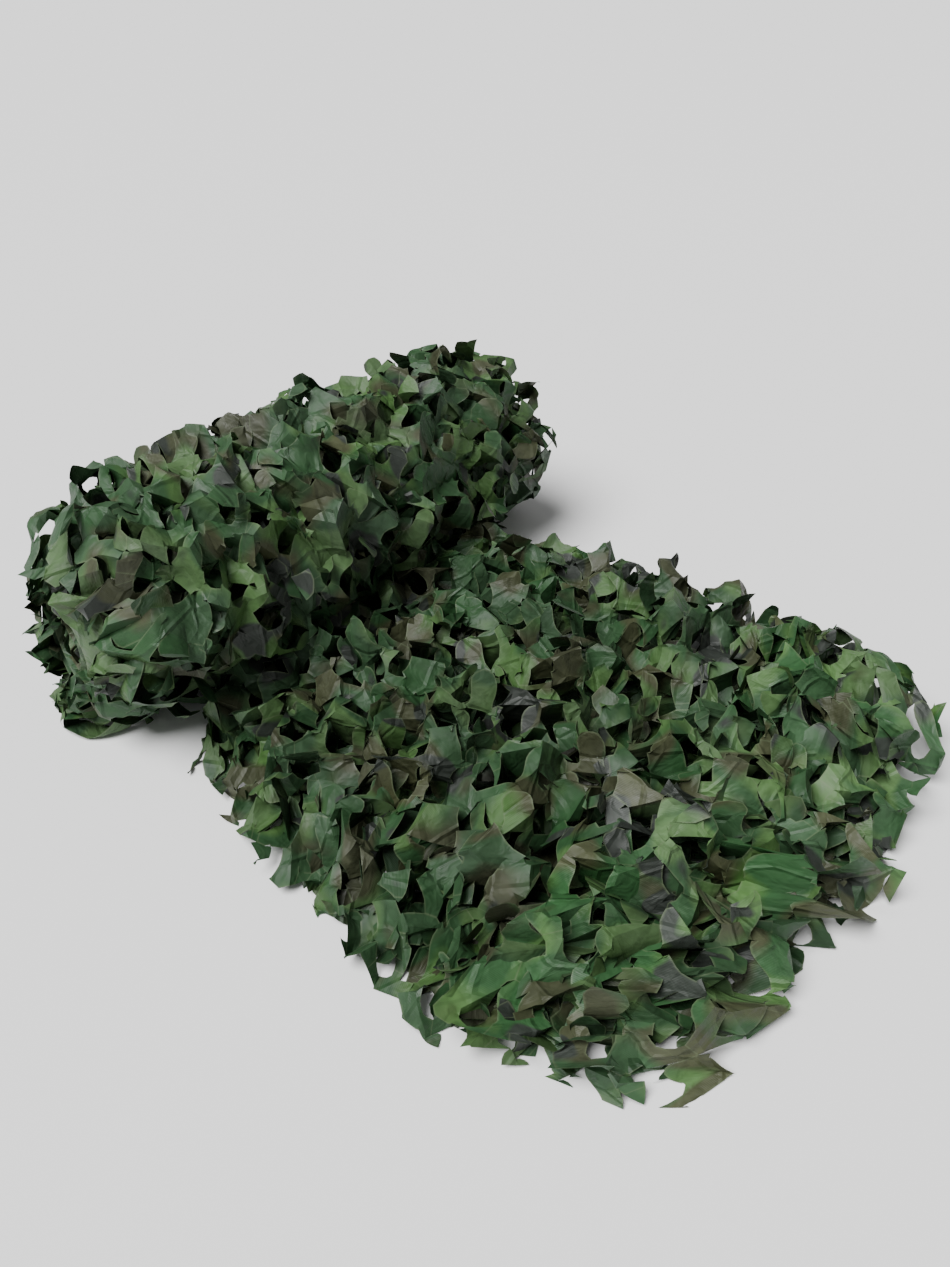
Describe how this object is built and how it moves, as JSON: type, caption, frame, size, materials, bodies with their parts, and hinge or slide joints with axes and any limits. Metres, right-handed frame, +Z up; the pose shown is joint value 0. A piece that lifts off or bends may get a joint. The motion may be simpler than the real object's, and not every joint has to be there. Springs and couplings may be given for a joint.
{
  "type": "camouflage net",
  "caption": "Leaf-cut camouflage net, folded once along its length, wound into a fat roll with its last stretch loose.",
  "frame": {"origin": "on the surface it rests on, at the middle of the roll's flat spot", "axes": "+X from the roll along the loose end, Y along the roll's axis, +Z up"},
  "size_m": [1.0064, 0.7668, 0.3054],
  "materials": {
    "leaf_cloth_roll": "thin woven polyester, printed in woodland greens and browns, soft satin",
    "leaf_cloth_loose": "thin woven polyester, printed in woodland greens and browns, soft satin"
  },
  "bodies": {
    "root": {"roll": "leaf_cloth_roll", "loose_end": "leaf_cloth_loose"}
  },
  "joints": []
}
